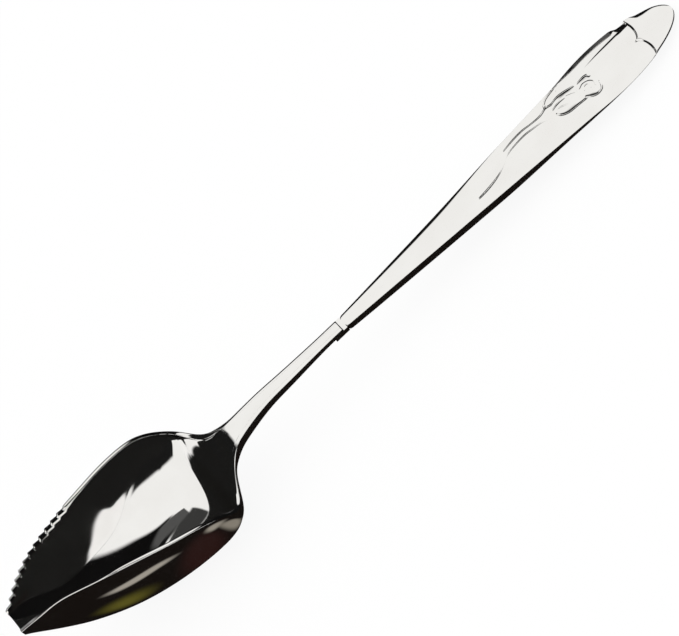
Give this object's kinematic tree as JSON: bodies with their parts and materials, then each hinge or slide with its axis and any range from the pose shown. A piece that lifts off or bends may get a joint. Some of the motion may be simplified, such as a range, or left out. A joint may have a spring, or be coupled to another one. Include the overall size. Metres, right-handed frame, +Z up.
{
  "type": "grapefruit spoon",
  "caption": "Grapefruit spoon: a deep scoop with a blunt tip and saw teeth along a rim, on a slim shank and a flat tapered hollow handle with a rosebud below its rounded cap.",
  "frame": {"origin": "on the table, under the middle of the spoon's length and width", "axes": "+X from the tip of the bowl towards the end of the handle, +Z up, teeth on the +Y rim"},
  "size_m": [0.1631, 0.0322, 0.0219],
  "materials": {
    "bowl_steel": "mirror polished",
    "collar_steel": "mirror polished",
    "front_steel": "mirror polished",
    "back_steel": "mirror polished",
    "cement": "rough"
  },
  "bodies": {
    "root": {"serrated_bowl": "bowl_steel", "collar": "collar_steel", "handle_front": "front_steel", "handle_back": "back_steel", "handle_filler": "cement"}
  },
  "joints": []
}
